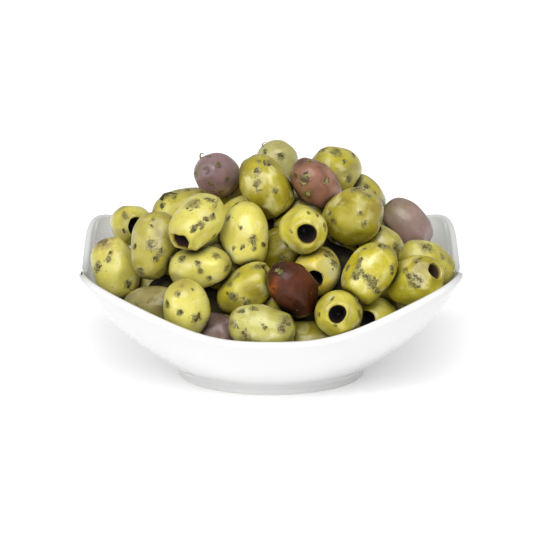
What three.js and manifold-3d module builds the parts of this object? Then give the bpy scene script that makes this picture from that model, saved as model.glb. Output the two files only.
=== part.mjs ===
// Bowl of olives: a square white porcelain bowl with raised corners, heaped with pitted olives in herbs.
// Millimetres, +Z up, the front faces -Y. The origin is under the middle of the foot.
import * as THREE from 'three';
import Module from 'manifold-3d';

const wasm = await Module();
wasm.setup();

// ---- Bowl: driving dimensions ----
const RIM_HALF = 76.5;                  // middle to the crest of the lip, square to a side
const RIM_SQUARE = 5.6;                 // power of the superellipse that the rim follows in plan
const RIM_WAVE = [51.8, -12.4, -21.4, 5.8, 8.0]; // crest height as a polynomial of q, see rim()
const LIP = 1.6;                        // half the thickness of the rounded lip
const WALL_SHARE = 0.72;                // share of the wall's rise that is straight, the rest curls up
const FLOOR_RADIUS = 38;                // flat floor inside
const FLOOR_HEIGHT = 6;
const FOOT_RADIUS = 38.3;
const FOOT_HEIGHT = 3.2;
const FOOT_WIDTH = 4.5;
const RECESS = 2;                       // height of the underside inside the foot ring
const BOWL_SIDES = 48;
const CORNER_CROWD = 0.09;              // how much closer together they lie at the corners
const WALL_ROWS = 7;
const LIP_ROWS = 4;
const GAP = 0.3;                        // kept between the bowl and the olives

// ---- Heap: driving dimensions ----
const APEX = 87;                        // height of the olives' middles at the top of the heap
const EDGE_RISE = 4;                    // their height over the lip at the edge of the heap
const EDGE_SHARE = 0.82;                // the edge of the heap, as a share of the way to the lip
const REACH_SHARE = 0.9;                // how far out olives lie, as a share of the way to the lip
const LAYER_STEP = 14;                  // depth of the second layer under the first
const BACK_FROM = -25;                  // behind this depth the upper layer is narrower
const BACK_WIDTH = 50;
const NEARNESS = [0.92, 0.84, 0.84];    // closeness of the olives that each filling round adds
const MOST_PRESSED = 2.4;               // an olive without more room than this is left out
const GAP_DEPTHS = [1, 4, 7, 10, 13, 16]; // depths at which olives lie in the gaps that are left
const GAP_FROM = -60;                   // gaps in front of this depth stay as they are
const GAP_PRESSED = 2.5;                // the most that one of them presses into others at the top
const GAP_SHARE = 0.33;                 // and how much more for each millimetre of depth
const CORE_SINK = 4;                    // depth of the core under the olives' middles
const CORE_DEPTH = 15;                  // and under their layer where none lies near
const CORE_BLUR = 7.5;                  // reach of an olive's pull on the core's surface
const CORE_HOLD = 0.5;                  // the core falls away where the pull is less
const CORE_SETTLE = 25;                 // how much the lower of them pull more
const CORE_SIDES = 20;
const CORE_RINGS = [0.93, 0.84, 0.75, 0.65, 0.53, 0.38, 0.2];
const CORE_GAP = 1.2;                   // between the core and the bowl's wall
const PEG_RADIUS = 4;                   // of the pegs that join the outer olives to the core
const PEG_SINK = 6;                     // their inner end, below the core's surface
const PEG_REACH = 0.9;                  // height over the core, in half widths, that needs a peg
const PEG_INWARD = 0.62;                // their inner end, as a share of the way out to the olive
const CAVITY_TOP = 130;

// ---- Olives and herb flakes ----
const FORM = 2.2;                       // power of an olive's outline, 2 would be an ellipse
const BORE = 3.5;                       // radius of the hole that the stone left
const BORE_DEPTH = 11;
const SIDES = 10;
const RINGS = [-60, -31, 0, 31];        // where the rows of corners go round an olive, in degrees
const BACK_SIDES = 8;
const BACK_RINGS = [-50, 0];
const LOWER_SIDES = 6;
const LOWER_RINGS = [-50, 0];
const FLAKE_LENGTH = 2.8;               // half the length
const FLAKE_WIDTH = 1.6;
const FLAKE_RAISE = 0.7;
const FLAKE_ROOT = 1.6;

// The front view, from 13.6 degrees above level and 1.65 m away
const TILT = THREE.MathUtils.degToRad(13.6);
const FAR = 1648;
const AIM = 24.7;
const FOOT_FRONT = 40;
const LOOK = [0, Math.cos(TILT), -Math.sin(TILT)];

// Olives that show at the front: across and up in that view, from the middle and from the front of
// the foot; the depth y; turn, the direction of the end with the hole in that view, and nod, its
// lean towards the viewer, both in degrees; half length, half width and kind.
const SEEN = [
  [2, 94.5, 16, 260, -48, 12.9, 9.2, 'pale'],
  [-2.6, 86.5, -13, -61, -8, 13.6, 10.1, 'green'],
  [18.5, 87, -12, 306, -28, 13, 8.8, 'mauve'],
  [26.5, 93, 8, 350, -55, 13, 9.3, 'green'],
  [-22.3, 91.3, 0, -15, -70, 12.4, 8.7, 'purple'],
  [-36, 76.8, 6, 15, 20, 13.4, 9, 'green'],
  [-30.3, 71.8, -47, 231, 34, 13.8, 9.4, 'green'],
  [-11, 66.3, -34, -95, 6, 14, 9.8, 'green'],
  [13, 68.7, -38, -50, 76, 13, 9.5, 'green'],
  [34, 73.8, -27, 200, -50, 13.8, 11, 'green'],
  [37.5, 82, 12, 305, -50, 12.6, 8.8, 'green'],
  [56, 71, 12, 312, -15, 12.4, 8.5, 'plum'],
  [46.5, 59.5, -20, 120, 35, 12.8, 8.9, 'green'],
  [40.4, 50.4, -56, 238, -12, 13, 9.7, 'green'],
  [58.8, 47.8, -54, 25, 40, 12.7, 9.6, 'green'],
  [63.8, 55.2, -28, 335, -20, 12.2, 8.6, 'green'],
  [28.5, 34.5, -61, 180, 86, 12.6, 9.5, 'green'],
  [43.5, 31.6, -52, 178, 65, 12.4, 8.9, 'green'],
  [9.2, 44.5, -56, -50, -30, 12.7, 9.2, 'red'],
  [18.8, 52, -42, -108, 70, 12.6, 9.4, 'yellow'],
  [-10.6, 43.7, -51, 40, 18, 13, 9.1, 'green'],
  [-29, 53, -42, 188, -20, 12.7, 8.8, 'green'],
  [-35, 36.8, -62, 280, -42, 12.7, 9.4, 'green'],
  [-3.5, 28.4, -62, -8, -3, 13.9, 9.3, 'pale'],
  [-23, 25.8, -57, 0, 10, 12.6, 8.8, 'purple'],
  [14, 22, -58, 0, 10, 12.6, 8.8, 'green'],
  [-48, 62, -38, 80, -15, 13.8, 9.5, 'green'],
  [-68, 52.6, -30, 105, -15, 13, 9.6, 'green'],
  [-57.2, 70.4, 6, -15, 78, 12.4, 8.8, 'green'],
  [-49.5, 36.5, -50, 0, 28, 12.4, 8.9, 'pale'],
  [2, 60, -30, 20, 25, 12.8, 9, 'green'],
  [-13, 81, 8, 90, 25, 12.8, 9.2, 'green'],
];

// ---- Helpers ----
const radians = THREE.MathUtils.degToRad;
const clamp = THREE.MathUtils.clamp;
const dot = (a, b) => a[0] * b[0] + a[1] * b[1] + a[2] * b[2];
const minus = (a, b) => [a[0] - b[0], a[1] - b[1], a[2] - b[2]];
const shift = (a, b, k) => [a[0] + b[0] * k, a[1] + b[1] * k, a[2] + b[2] * k];
const length = (a) => Math.sqrt(dot(a, a));
const unit = (a) => shift([0, 0, 0], a, 1 / length(a));

// A seeded draw from 0 to 1
function draws(seed) {
  let state = seed;
  return () => {
    state = state * 16807 % 2147483647;
    return state / 2147483647;
  };
}

// Closed surface over rows of points. Each row turns anticlockwise seen from outside the last row,
// and a row of one point closes an end.
function skin(rows) {
  const position = [];
  const index = [];
  const starts = rows.map((row) => {
    const start = position.length / 3;
    row.forEach((point) => position.push(...point));
    return start;
  });
  for (let i = 0; i + 1 < rows.length; i += 1) {
    const count = Math.max(rows[i].length, rows[i + 1].length);
    const at = (row, k) => starts[row] + (rows[row].length === 1 ? 0 : k % count);
    for (let k = 0; k < count; k += 1) {
      if (rows[i].length > 1) index.push(at(i, k), at(i, k + 1), at(i + 1, k));
      if (rows[i + 1].length > 1) index.push(at(i, k + 1), at(i + 1, k + 1), at(i + 1, k));
    }
  }
  const geometry = new THREE.BufferGeometry();
  geometry.setAttribute('position', new THREE.Float32BufferAttribute(position, 3));
  geometry.setIndex(index);
  return geometry;
}

function toSolid(geometry) {
  const vertProperties = new Float32Array(geometry.attributes.position.array);
  const triVerts = new Uint32Array(geometry.index.array);
  return new wasm.Manifold(new wasm.Mesh({ numProp: 3, vertProperties, triVerts }));
}

function toGeometry(solid) {
  const mesh = solid.getMesh();
  const geometry = new THREE.BufferGeometry();
  geometry.setAttribute('position', new THREE.Float32BufferAttribute(mesh.vertProperties, 3));
  geometry.setIndex([...mesh.triVerts]);
  return geometry;
}

// ---- Bowl ----

// The lip's crest in the direction (c, s): its radius in plan and its height.
// q = s*s - c*c is -1 at the sides, 0 at the corners and 1 at the front and back.
function rim(c, s) {
  const sum = Math.abs(c) ** RIM_SQUARE + Math.abs(s) ** RIM_SQUARE;
  const q = s * s - c * c;
  const height = RIM_WAVE.reduceRight((value, factor) => value * q + factor, 0);
  return [RIM_HALF / sum ** (1 / RIM_SQUARE), height];
}

// Rise of a wall, 0 to 1, at the share v of the way out to the lip
const rise = (v) => WALL_SHARE * v + (1 - WALL_SHARE) * v ** 4;

const innerHeight = (v, top) => FLOOR_HEIGHT + (top - FLOOR_HEIGHT) * rise(v);

// At (x, y): the distance from the middle, and that way the lip's inner radius and crest height
function lipOver(x, y) {
  const r = Math.sqrt(x * x + y * y);
  if (r < 0.001) return [0, RIM_HALF - LIP, rim(1, 0)[1]];
  const [radius, height] = rim(x / r, y / r);
  return [r, radius - LIP, height];
}

function floorUnder(x, y) {
  const [r, edge, top] = lipOver(x, y);
  return innerHeight(Math.max(0, (r - FLOOR_RADIUS) / (edge - FLOOR_RADIUS)), top);
}

// A row of points round the bowl, closer together at the corners: place gives [radius, height]
// from the rim in each direction
function around(sides, place) {
  const row = [];
  for (let k = 0; k < sides; k += 1) {
    const even = (k + 0.5) / sides * 2 * Math.PI;
    const turn = even + CORNER_CROWD * Math.sin(4 * even);
    const [c, s] = [Math.cos(turn), Math.sin(turn)];
    const [r, z] = place(...rim(c, s));
    row.push([c * r, s * r, z]);
  }
  return row;
}

function bowlGeometry() {
  const round = (r, z) => around(BOWL_SIDES, () => [r, z]);
  const footInside = FOOT_RADIUS - FOOT_WIDTH;
  const rows = [[[0, 0, RECESS]], round(footInside - 1, RECESS), round(footInside, 0.4),
    round(footInside + 0.5, 0), round(FOOT_RADIUS - 0.6, 0), round(FOOT_RADIUS, 0.6)];
  for (let i = 0; i <= WALL_ROWS; i += 1) {
    const v = i / WALL_ROWS;
    rows.push(around(BOWL_SIDES, (radius, top) => [
      FOOT_RADIUS + (radius + LIP - FOOT_RADIUS) * v,
      FOOT_HEIGHT + (top - LIP - FOOT_HEIGHT) * rise(v)]));
  }
  for (let i = 1; i < LIP_ROWS; i += 1) {
    const turn = i / LIP_ROWS * Math.PI;
    rows.push(around(BOWL_SIDES, (radius, top) => [
      radius + LIP * Math.cos(turn), top - LIP + LIP * Math.sin(turn)]));
  }
  for (let i = WALL_ROWS; i >= 0; i -= 1) {
    const v = i / WALL_ROWS;
    rows.push(around(BOWL_SIDES, (radius, top) => [
      FLOOR_RADIUS + (radius - LIP - FLOOR_RADIUS) * v, innerHeight(v, top - LIP)]));
  }
  rows.push([[0, 0, FLOOR_HEIGHT]]);
  return skin(rows);
}

// The room in the bowl, less a gap at the wall, carried straight up over the lip
function cavitySolid(sides, wallRows, gap) {
  const rows = [[[0, 0, FLOOR_HEIGHT + GAP]]];
  for (let i = 0; i <= wallRows; i += 1) {
    const v = i / wallRows;
    rows.push(around(sides, (radius, top) => [
      FLOOR_RADIUS - gap + (radius - LIP - FLOOR_RADIUS) * v, innerHeight(v, top - LIP) + GAP]));
  }
  rows.push(around(sides, (radius) => [radius - LIP - gap, CAVITY_TOP]));
  rows.push([[0, 0, CAVITY_TOP]]);
  return toSolid(skin(rows));
}

// ---- Where the olives lie ----

// Height of the upper layer's middles over (x, y)
function dome(x, y) {
  const [r, edge, top] = lipOver(x, y);
  const low = top + EDGE_RISE;
  return low + (APEX - low) * (1 - (r / edge / EDGE_SHARE) ** 1.5);
}

// The same for a layer that lies deeper. At the back the heap is too low to show over its front.
function layer(x, y, deep) {
  const skyline = 62 + 33 * Math.exp(-(((x - 3) / 36) ** 2));
  const hidden = (skyline - 14 - 0.235 * y) / 0.972;
  return Math.min(dome(x, y), hidden) - deep;
}

// The place that shows at (across, up) in the front view and lies at the depth y
function seat(across, up, y) {
  const [flat, steep] = [Math.cos(TILT), Math.sin(TILT)];
  const base = FAR * (-AIM * flat - FOOT_FRONT * steep) / (FAR - FOOT_FRONT * flat + AIM * steep);
  const a = up + base;
  const height = (a * (1 + y * flat / FAR) - y * steep) / (flat + a * steep / FAR);
  return [across * (1 + (y * flat - height * steep) / FAR), y, AIM + height];
}

function axis(turn, nod) {
  const [t, n] = [radians(turn), radians(nod)];
  const [flat, steep] = [Math.cos(TILT), Math.sin(TILT)];
  const [right, up, near] = [Math.cos(t) * Math.cos(n), Math.sin(t) * Math.cos(n), Math.sin(n)];
  return [right, up * steep - near * flat, up * flat + near * steep];
}

// c is the middle, u the axis towards the hole, a and b half the length and width. Held ones show
// at the front and keep their place in the view.
function olive(c, u, a, b, kind, held, deep) {
  return { c, home: c, u, a, b, kind, held, deep, move: [0, 0, 0] };
}

// An olive at the place k of a spiral over a layer, its turn and size drawn. Nothing where it would
// lie in the floor or too far out.
function strewn(draw, deep, k, tries) {
  const turn = k * 2.399963;
  const [c, s] = [Math.cos(turn), Math.sin(turn)];
  const r = (rim(c, s)[0] - LIP) * Math.sqrt((k + 0.5) / tries) * REACH_SHARE;
  const x = c * r + 4 * draw() - 2;
  const y = s * r + 4 * draw() - 2;
  const z = layer(x, y, deep) + 2 * draw() - 1;
  const u = unit([draw() - 0.5, draw() - 0.5, 0.6 * draw() - 0.3]);
  const b = 9.2 + draw();
  const a = b * (1.3 + 0.12 * draw());
  const buried = z < floorUnder(x, y) + b * 0.6;
  const tooWide = deep === 0 && y > BACK_FROM && Math.abs(x + 2) > BACK_WIDTH - 0.1 * y;
  return buried || tooWide ? null : olive([x, y, z], u, a, b, 'green', false, deep);
}

// Whether an olive lies in front of a held one
function hides(o, other) {
  const d = minus(o.c, other.c);
  const along = dot(d, LOOK);
  return other.held && along < 4 && dot(d, d) - along * along < (o.b + other.b) ** 2 * 0.9;
}

// Adds olives to a layer where there is room and none of the held ones is hidden
function fill(olives, draw, deep, tries, nearness) {
  for (let k = 0; k < tries; k += 1) {
    const o = strewn(draw, deep, k, tries);
    const crowded = (other) => length(minus(o.c, other.c)) < (o.b + other.b) * nearness;
    if (o && !olives.some((other) => hides(o, other) || crowded(other))) olives.push(o);
  }
}

// The step from one olive's middle line to the other's, where the two come nearest
function nearest(o, p) {
  const [s, t] = [o.a - o.b, p.a - p.b];
  const d = minus(o.c, p.c);
  const [b, du, dw] = [dot(o.u, p.u), dot(d, o.u), dot(d, p.u)];
  const first = clamp((b * dw - du) / Math.max(0.001, 1 - b * b), -s, s);
  const j = clamp(dw + b * first, -t, t);
  const i = clamp(b * j - du, -s, s);
  return shift(shift(d, o.u, i), p.u, -j);
}

const pressed = (o, p) => o.b + p.b - length(nearest(o, p));

// Keeps an olive's ends and middle inside the bowl and over its floor
function keepInside(o) {
  const reach = o.b + 0.8;
  [o.b - o.a, 0, o.a - o.b].forEach((t) => {
    const [x, y, z] = shift(o.c, o.u, t);
    const [r, edge, top] = lipOver(x, y);
    let most = edge + 2;
    if (z <= top) {
      let [low, high] = [0, 1];
      for (let k = 0; k < 12; k += 1) {
        const v = (low + high) / 2;
        if (innerHeight(v, top) < z) low = v;
        else high = v;
      }
      most = FLOOR_RADIUS + (edge - FLOOR_RADIUS) * low - reach * 1.12;
    } else if (z < top + reach) {
      most = edge - reach * Math.sqrt(1 - ((z - top) / reach) ** 2);
    }
    if (r > most) o.c = shift(o.c, [x, y, 0], -(r - most) / r);
  });
  o.c[2] = Math.max(o.c[2], floorUnder(o.c[0], o.c[1]) + o.b * 1.25);
}

// One olive's step in a round: the held ones give way along the line of sight, the others drift
// back to their layer
function step(o) {
  o.c = shift(o.c, o.move, 0.5);
  o.move = [0, 0, 0];
  if (o.held) {
    const off = minus(o.c, o.home);
    const along = dot(off, LOOK);
    const beside = shift(off, LOOK, -along);
    o.c = shift(shift(o.c, beside, -0.3), LOOK, -0.02 * along);
  } else {
    const high = layer(o.c[0], o.c[1], o.deep);
    o.c[2] = Math.min(high + 2, o.c[2] + 0.15 * (high - o.c[2]));
    const most = BACK_WIDTH - 0.1 * o.c[1];
    if (o.deep === 0 && o.c[1] > BACK_FROM) o.c[0] = clamp(o.c[0], -2 - most, -2 + most);
  }
  keepInside(o);
}

// Pushes olives that press into each other apart, round by round
function settle(olives, rounds) {
  for (let round = 0; round < rounds; round += 1) {
    for (let i = 0; i < olives.length; i += 1) {
      for (let j = i + 1; j < olives.length; j += 1) {
        const [o, p] = [olives[i], olives[j]];
        const d = minus(o.c, p.c);
        if (dot(d, d) > (o.a + p.a) ** 2) continue;
        const e = nearest(o, p);
        const distance = length(e);
        const need = (o.b + p.b) * 0.97;
        if (distance >= need || distance < 0.001) continue;
        const push = (need - distance) / distance;
        let share = 0.5;
        if (o.held && !p.held) share = 0.15;
        if (p.held && !o.held) share = 0.85;
        o.move = shift(o.move, e, push * share);
        p.move = shift(p.move, e, -push * (1 - share));
      }
    }
    olives.forEach(step);
  }
}

// Puts olives into the gaps that are left, the upper gaps first
function fillGaps(olives, draw) {
  GAP_DEPTHS.forEach((deep) => {
    const most = GAP_PRESSED + GAP_SHARE * deep;
    for (let k = 0; k < 800; k += 1) {
      const o = strewn(draw, deep, k, 800);
      if (!o || o.c[1] < GAP_FROM) continue;
      keepInside(o);
      if (olives.every((p) => !hides(o, p) && pressed(o, p) < most)) olives.push(o);
    }
  });
}

function layOut() {
  let olives = SEEN.map(([across, up, y, turn, nod, a, b, kind]) => (
    olive(seat(across, up, y), axis(turn, nod), a, b, kind, true, 0)));
  const draw = draws(13);
  NEARNESS.forEach((nearness) => {
    fill(olives, draw, 0, 420, nearness);
    fill(olives, draw, LAYER_STEP, 300, nearness);
    settle(olives, 40);
    const kept = [];
    olives.forEach((o) => {
      if (o.held || kept.every((p) => pressed(o, p) < MOST_PRESSED)) kept.push(o);
    });
    olives = kept;
  });
  fillGaps(olives, draw);
  return olives;
}

// ---- The heap's solids ----

// A point by an olive's surface: angle goes along it, from -90 degrees to 90 at the hole's end,
// turn goes round it, and lift is the distance outwards
function onOlive(o, angle, turn, lift) {
  const e1 = unit(Math.abs(o.u[2]) < 0.9 ? [-o.u[1], o.u[0], 0] : [0, -o.u[2], o.u[1]]);
  const e2 = [o.u[1] * e1[2] - o.u[2] * e1[1], o.u[2] * e1[0] - o.u[0] * e1[2],
    o.u[0] * e1[1] - o.u[1] * e1[0]];
  const [c, s] = [Math.cos(radians(angle)), Math.sin(radians(angle))];
  const r = (o.b + lift) * c ** (2 / FORM);
  const along = (o.a + lift) * Math.sign(s) * Math.abs(s) ** (2 / FORM);
  const round = shift(shift([0, 0, 0], e1, r * Math.cos(turn)), e2, r * Math.sin(turn));
  return shift(shift(o.c, o.u, along), round, 1);
}

function oliveSolid(o, sides, angles, open) {
  const ring = (angle) => {
    const row = [];
    for (let k = 0; k < sides; k += 1) row.push(onOlive(o, angle, k / sides * 2 * Math.PI, 0));
    return row;
  };
  const rows = [[shift(o.c, o.u, -o.a)], ...angles.map(ring)];
  if (!open) return toSolid(skin([...rows, ring(-angles[0]), [shift(o.c, o.u, o.a)]]));
  const mouth = ring(THREE.MathUtils.radToDeg(Math.acos((BORE / o.b) ** (FORM / 2))));
  const inward = minus(shift(o.c, o.u, o.a - BORE_DEPTH), shift(o.c, o.u, dot(minus(mouth[0], o.c), o.u)));
  return toSolid(skin([...rows, mouth, mouth.map((point) => shift(point, inward, 1)),
    [shift(o.c, o.u, o.a - BORE_DEPTH)]]));
}

// A scrap of herb stuck to an olive: a low six-sided peak on the skin, rooted in the flesh
function flakeSolid(o, draw) {
  const angle = 100 * draw() - 60;
  const turn = 2 * Math.PI * draw();
  const lie = Math.PI * draw();
  const row = [];
  for (let k = 0; k < 6; k += 1) {
    const corner = k / 6 * 2 * Math.PI;
    const ragged = 0.8 + 0.4 * draw();
    const [p, q] = [FLAKE_LENGTH * ragged * Math.cos(corner), FLAKE_WIDTH * ragged * Math.sin(corner)];
    const round = (p * Math.cos(lie) - q * Math.sin(lie)) / (o.b * Math.cos(radians(angle)));
    const along = (p * Math.sin(lie) + q * Math.cos(lie)) / o.a;
    row.push(onOlive(o, angle + THREE.MathUtils.radToDeg(along), turn + round, 0));
  }
  return toSolid(skin([[onOlive(o, angle, turn, -FLAKE_ROOT)], row,
    [onOlive(o, angle, turn, FLAKE_RAISE)]]));
}

// Height of the core over (x, y): a blanket that lies under the middles of the upper olives, and
// where they lie over each other under the lowest
function coreTop(olives, x, y) {
  let [pulls, weights, heights] = [0, 0.000001, 0];
  olives.filter((o) => o.deep === 0).forEach((o) => {
    const pull = Math.exp(-((x - o.c[0]) ** 2 + (y - o.c[1]) ** 2) / (2 * CORE_BLUR ** 2));
    const weight = pull * Math.exp(-o.c[2] / CORE_SETTLE);
    pulls += pull;
    weights += weight;
    heights += weight * (o.c[2] - CORE_SINK);
  });
  const low = layer(x, y, CORE_DEPTH);
  const share = pulls ** 2 / (pulls ** 2 + CORE_HOLD ** 2);
  return low + (heights / weights - low) * share;
}

function coreSolid(olives) {
  const rows = [[[0, 0, -20]], around(CORE_SIDES, (radius) => [CORE_RINGS[0] * radius, -20])];
  CORE_RINGS.forEach((share) => {
    const flat = around(CORE_SIDES, (radius) => [share * radius, 0]);
    rows.push(flat.map(([x, y]) => [x, y, coreTop(olives, x, y)]));
  });
  rows.push([[0, 0, coreTop(olives, 0, 0)]]);
  return toSolid(skin(rows)).intersect(cavitySolid(CORE_SIDES, 4, CORE_GAP));
}

// A four-sided peg from an olive's middle into the core
function pegSolid(olives, o) {
  const foot = [PEG_INWARD * o.c[0], PEG_INWARD * o.c[1], 0];
  foot[2] = Math.min(o.c[2], coreTop(olives, foot[0], foot[1])) - PEG_SINK;
  const u = unit(minus(o.c, foot));
  const row = (c) => [0, 1, 2, 3].map((k) => (
    onOlive({ c, u, a: 0, b: PEG_RADIUS }, 0, k / 2 * Math.PI, 0)));
  return toSolid(skin([[foot], row(foot), row(o.c), [o.c]]));
}

function heapGeometry() {
  const olives = layOut();
  const draw = draws(11);
  let heap = coreSolid(olives);
  olives.forEach((o) => {
    if (o.deep > 0) heap = heap.add(oliveSolid(o, LOWER_SIDES, LOWER_RINGS, false));
    else if (o.held) heap = heap.add(oliveSolid(o, SIDES, RINGS, true));
    else heap = heap.add(oliveSolid(o, BACK_SIDES, BACK_RINGS, o.u[2] > 0));
    const over = o.c[2] - coreTop(olives, o.c[0], o.c[1]);
    if (over > PEG_REACH * o.b) heap = heap.add(pegSolid(olives, o));
    if (o.held) heap = heap.add(flakeSolid(o, draw));
  });
  const pieces = heap.intersect(cavitySolid(BOWL_SIDES, WALL_ROWS, GAP)).decompose();
  pieces.sort((a, b) => b.volume() - a.volume());
  return toGeometry(pieces[0]);
}

// ---- Materials and nodes ----
const glaze = new THREE.MeshStandardMaterial({ color: '#f3f4f3', roughness: 0.12, metalness: 0 });
const flesh = new THREE.MeshStandardMaterial({ color: '#b3ad3c', roughness: 0.35, metalness: 0 });

const group = new THREE.Group();
const bowl = new THREE.Mesh(bowlGeometry(), glaze);
bowl.name = 'bowl';
const olives = new THREE.Mesh(heapGeometry(), flesh);
olives.name = 'olives';
group.add(bowl, olives);

export default group;
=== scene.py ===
"""Bowl of olives: a square white porcelain bowl with raised corners, heaped with pitted olives.

The heap is laid out once, in millimetres, +Z up, with the front facing -Y, and the operators below
make the bowl, the heap's middle, the olives of each kind and the herbs on them, in metres.
"""
from functools import lru_cache
from math import acos, cos, exp, pi, radians, sin, sqrt

import bpy
import numpy as np
from bpy.props import FloatProperty, FloatVectorProperty, IntProperty, PointerProperty
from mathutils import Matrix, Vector
from numpy.linalg import norm


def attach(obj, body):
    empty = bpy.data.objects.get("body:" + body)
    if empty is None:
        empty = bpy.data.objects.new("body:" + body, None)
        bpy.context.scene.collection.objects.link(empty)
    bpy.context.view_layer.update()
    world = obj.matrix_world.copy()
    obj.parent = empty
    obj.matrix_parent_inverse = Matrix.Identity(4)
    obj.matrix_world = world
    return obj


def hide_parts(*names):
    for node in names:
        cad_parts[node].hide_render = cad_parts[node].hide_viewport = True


bl_info = {
    "name": "Bowl of Olives",
    "version": (1, 0, 0),
    "blender": (4, 5, 0),
    "location": "View3D > Sidebar > Olives",
    "description": "A porcelain bowl heaped with pitted olives in herbs",
    "category": "Object",
}

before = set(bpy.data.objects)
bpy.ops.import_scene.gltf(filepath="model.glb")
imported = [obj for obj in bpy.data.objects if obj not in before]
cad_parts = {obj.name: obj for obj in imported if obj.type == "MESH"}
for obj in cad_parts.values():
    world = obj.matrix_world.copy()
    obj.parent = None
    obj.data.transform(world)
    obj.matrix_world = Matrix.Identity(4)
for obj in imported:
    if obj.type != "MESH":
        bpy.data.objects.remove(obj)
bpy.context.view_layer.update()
MM = 0.001

# ---- Bowl, in millimetres ----
RIM_HALF = 76.5
RIM_SQUARE = 5.6
RIM_WAVE = (51.8, -12.4, -21.4, 5.8, 8.0)
LIP = 1.6
WALL_SHARE = 0.72
FLOOR_RADIUS = 38.0
FLOOR_HEIGHT = 6.0
FOOT_RADIUS = 38.3
FOOT_HEIGHT = 3.2
FOOT_WIDTH = 4.5
FOOT_ROUND_IN, FOOT_ROUND_OUT = 0.6, 0.8
RECESS = 2.0

# ---- Heap, in millimetres ----
HEAP_SEED, CLUSTER_SEED, HERB_SEED = 13, 3, 5
APEX = 87.0
EDGE_RISE = 4.0
EDGE_SHARE = 0.82
SKY_LOW, SKY_HUMP, SKY_MIDDLE, SKY_WIDTH = 62, 33, 3, 36
SKY_MARGIN = 14
SKY_SLOPE, SKY_STEEP = 0.235, 0.972
GOLDEN_TURN = 2.399963
HALF_WIDTH = 9.2
LENGTH, LENGTH_RANGE = 1.3, 0.12
REACH_SHARE = 0.9
LAYERS = ((0, 420), (14.0, 300))
BACK_FROM = -25.0
BACK_WIDTH = 50.0
NEARNESS = (0.92, 0.84, 0.84)
SETTLE_ROUNDS = 40
TOUCH = 0.97
HELD_SHARE = 0.15
MOST_PRESSED = 2.4
GAP_DEPTHS = (1, 4, 7, 10, 13, 16)
GAP_TRIES = 800
GAP_FROM = -60.0
GAP_PRESSED = 2.5
GAP_SHARE = 0.33
CORE_SIDES = 96
CORE_NEAR, CORE_LOW, CORE_SINK, CORE_DEEP = 7.5, 25, 9, 19
CORE_WALL = np.linspace(0.08, 0.54, 9)
CORE_BLANKET = np.linspace(0.76, 0.03, 26)

# ---- The front view: 13.6 degrees above level, 1.65 m away ----
TILT = radians(13.6)
FAR = 1648.0
AIM = 24.7
CAMERA_AIM = (0.00165, 0, 0.0411)
LIGHT_AIM = (0, 0, 0.04)
FLOOR_HALF = 4
FOOT_FRONT = 40.0
FLAT, STEEP = cos(TILT), sin(TILT)
LOOK = np.array([0.0, FLAT, -STEEP])
UPWARD = np.array([0.0, STEEP, FLAT])
EYE = np.array([0.0, 0.0, AIM]) - FAR * LOOK

# ---- Olives, in millimetres ----
BLUNT = 2.7
ROUND = 2.15
BORE = 3.6
BORE_DEPTH = 11.0
EDGE_ROUND = 0.55
HOLE_ROWS = (0.8, 2.0, 3.6, 5.4, 7.2)
HOLE_WIDTHS = (1, 1, 0.93, 0.78, 0.6)
SCAR_WIDTH = 1.7
CLOSE_REACH = 2.1
MASH_MARGIN = 0.6
OLIVE_SIDES = 44
# Painted shade down in the hole: dark brown on its wall, near black at its end
HOLE_WALL_SHADE = (0.045, 0.019, 0.008)
HOLE_END_SHADE = (0.004, 0.002, 0.001)

# Olives that show at the front: across and up in that view, from the middle and from the front of
# the foot; the depth y; turn, the direction of the end with the hole in that view, and nod, its
# lean towards the viewer, both in degrees; half length, half width and kind.
SEEN = (
    (2, 94.5, 16, 260, -48, 12.9, 9.2, "pale"),
    (-2.6, 86.5, -13, -61, -8, 13.6, 10.1, "green"),
    (18.5, 87, -12, 306, -28, 13, 8.8, "mauve"),
    (26.5, 93, 8, 350, -55, 13, 9.3, "green"),
    (-22.3, 91.3, 0, -15, -70, 12.4, 8.7, "purple"),
    (-36, 76.8, 6, 15, 20, 13.4, 9, "green"),
    (-30.3, 71.8, -47, 231, 34, 13.8, 9.4, "green"),
    (-11, 66.3, -34, -95, 6, 14, 9.8, "green"),
    (13, 68.7, -38, -50, 76, 13, 9.5, "green"),
    (34, 73.8, -27, 200, -50, 13.8, 11, "green"),
    (37.5, 82, 12, 305, -50, 12.6, 8.8, "green"),
    (56, 71, 12, 312, -15, 12.4, 8.5, "plum"),
    (46.5, 59.5, -20, 120, 35, 12.8, 8.9, "green"),
    (40.4, 50.4, -56, 238, -12, 13, 9.7, "green"),
    (58.8, 47.8, -54, 25, 40, 12.7, 9.6, "green"),
    (63.8, 55.2, -28, 335, -20, 12.2, 8.6, "green"),
    (28.5, 34.5, -61, 180, 86, 12.6, 9.5, "green"),
    (43.5, 31.6, -52, 178, 65, 12.4, 8.9, "green"),
    (9.2, 44.5, -56, -50, -30, 12.7, 9.2, "red"),
    (18.8, 52, -42, -108, 70, 12.6, 9.4, "yellow"),
    (-10.6, 43.7, -51, 40, 18, 13, 9.1, "green"),
    (-29, 53, -42, 188, -20, 12.7, 8.8, "green"),
    (-35, 36.8, -62, 280, -42, 12.7, 9.4, "green"),
    (-3.5, 28.4, -62, -8, -3, 13.9, 9.3, "pale"),
    (-23, 25.8, -57, 0, 10, 12.6, 8.8, "plum"),
    (14, 22, -58, 0, 10, 12.6, 8.8, "green"),
    (-48, 62, -38, 80, -15, 13.8, 9.5, "green"),
    (-68, 52.6, -30, 105, -15, 13, 9.6, "green"),
    (-57.2, 70.4, 6, -15, 78, 12.4, 8.8, "green"),
    (-49.5, 36.5, -50, 0, 28, 12.4, 8.9, "drab"),
    (2, 60, -30, 20, 25, 12.8, 9, "green"),
    (-13, 81, 8, 90, 25, 12.8, 9.2, "green"),
)

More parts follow.
